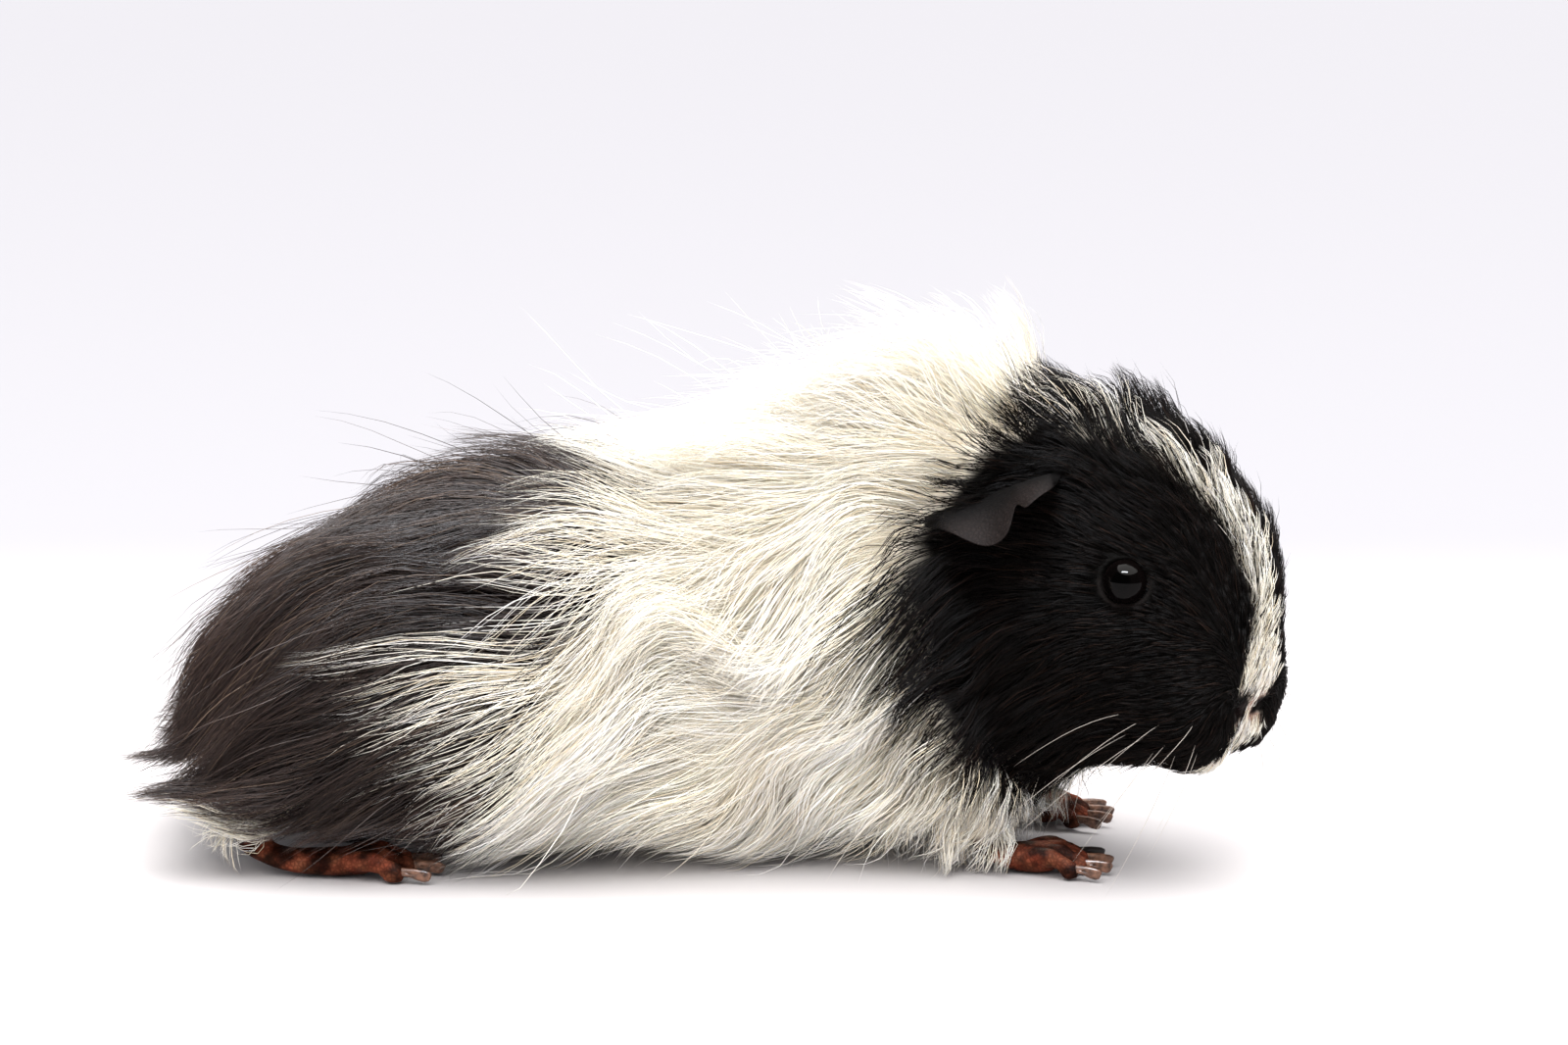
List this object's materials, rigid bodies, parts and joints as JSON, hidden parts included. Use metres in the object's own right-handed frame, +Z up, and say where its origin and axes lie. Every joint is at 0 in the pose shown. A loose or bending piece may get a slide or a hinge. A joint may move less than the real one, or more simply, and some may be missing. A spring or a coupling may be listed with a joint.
{
  "type": "guinea pig",
  "caption": "Still life-size long-haired guinea pig crouched on all four feet, head lowered and turned to its right, coat white, black and brown.",
  "frame": {"origin": "on the floor under the middle of the coat's extent in X and in Y, level with the soles", "axes": "+X from rump to nose, +Y to the animal's left, +Z up"},
  "size_m": [0.2716, 0.1158, 0.1312],
  "materials": {
    "white_coat": "long soft white hair, matt",
    "black_coat": "black hair with a soft sheen",
    "brown_coat": "long sleek dark grey-brown hair",
    "bare_skin": "bare pinkish skin, satin",
    "dark_skin": "thin bare dark grey skin, satin",
    "eye": "wet and glossy, nearly black",
    "pale_claw": "horn, satin",
    "dark_claw": "dark horn, satin"
  },
  "bodies": {
    "root": {"barrel": "white_coat", "cheek_left": "black_coat", "cheek_right": "black_coat", "chest": "white_coat", "claw_fore_left_1": "pale_claw", "claw_fore_left_2": "pale_claw", "claw_fore_left_3": "pale_claw", "claw_fore_left_4": "pale_claw", "claw_fore_right_1": "pale_claw", "claw_fore_right_2": "pale_claw", "claw_fore_right_3": "pale_claw", "claw_fore_right_4": "dark_claw", "claw_hind_left_1": "pale_claw", "claw_hind_left_2": "pale_claw", "claw_hind_left_3": "pale_claw", "claw_hind_right_1": "pale_claw", "claw_hind_right_2": "pale_claw", "claw_hind_right_3": "pale_claw", "cranium": "black_coat", "ear_left": "dark_skin", "ear_right": "dark_skin", "eye_left": "eye", "eye_right": "eye", "forefoot_left": "bare_skin", "forefoot_right": "bare_skin", "foreleg_left": "white_coat", "foreleg_right": "white_coat", "haunch_left": "brown_coat", "haunch_right": "brown_coat", "hindfoot_left": "bare_skin", "hindfoot_right": "bare_skin", "hindleg_left": "white_coat", "hindleg_right": "white_coat", "lower_jaw": "black_coat", "muzzle": "white_coat", "neck": "white_coat", "nose": "dark_skin", "rump": "brown_coat", "shoulders": "white_coat"}
  },
  "joints": []
}
